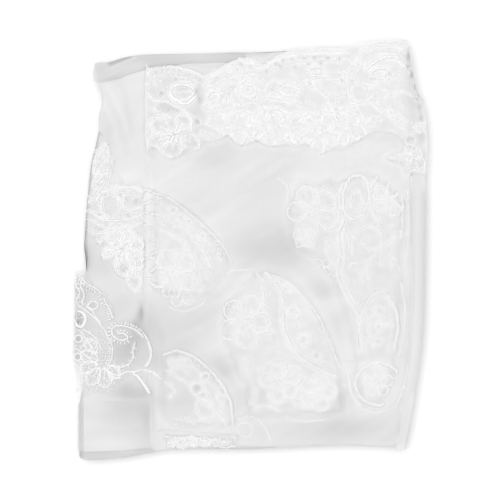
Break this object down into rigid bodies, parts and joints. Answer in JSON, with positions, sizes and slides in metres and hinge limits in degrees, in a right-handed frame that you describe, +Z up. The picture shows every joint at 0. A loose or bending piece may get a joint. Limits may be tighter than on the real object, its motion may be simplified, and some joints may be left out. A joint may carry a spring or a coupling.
{
  "type": "folded bridal veil",
  "caption": "Sheer tulle bridal veil with a corded, scalloped floral lace border, folded into a flat rectangular packet with lace flaps showing on top and at the side.",
  "frame": {"origin": "centre of the packet's box at the surface it rests on", "axes": "+Z up through the thickness, +Y towards the edge with the lace flap, +X to the right seen from above"},
  "size_m": [0.303, 0.359, 0.0149],
  "materials": {
    "tulle": "sheer white tulle net, soft matt",
    "tulle_folded": "many layers of white tulle, folded edges, soft matt",
    "lace": "white corded embroidery on net, soft thread sheen"
  },
  "bodies": {
    "root": {"folded_core": "tulle_folded", "tulle_lower_panel": "tulle", "tulle_top_fold": "tulle_folded", "tulle_corner_panel": "tulle", "tulle_right_fold": "tulle_folded", "tulle_upper_panel": "tulle", "lace_left_middle": "lace", "lace_left_corner": "lace", "lace_bottom_edge": "lace", "lace_inner_left": "lace", "lace_inner_corner": "lace", "lace_inner_centre": "lace", "lace_inner_right": "lace", "lace_top_flap": "lace"}
  },
  "joints": []
}
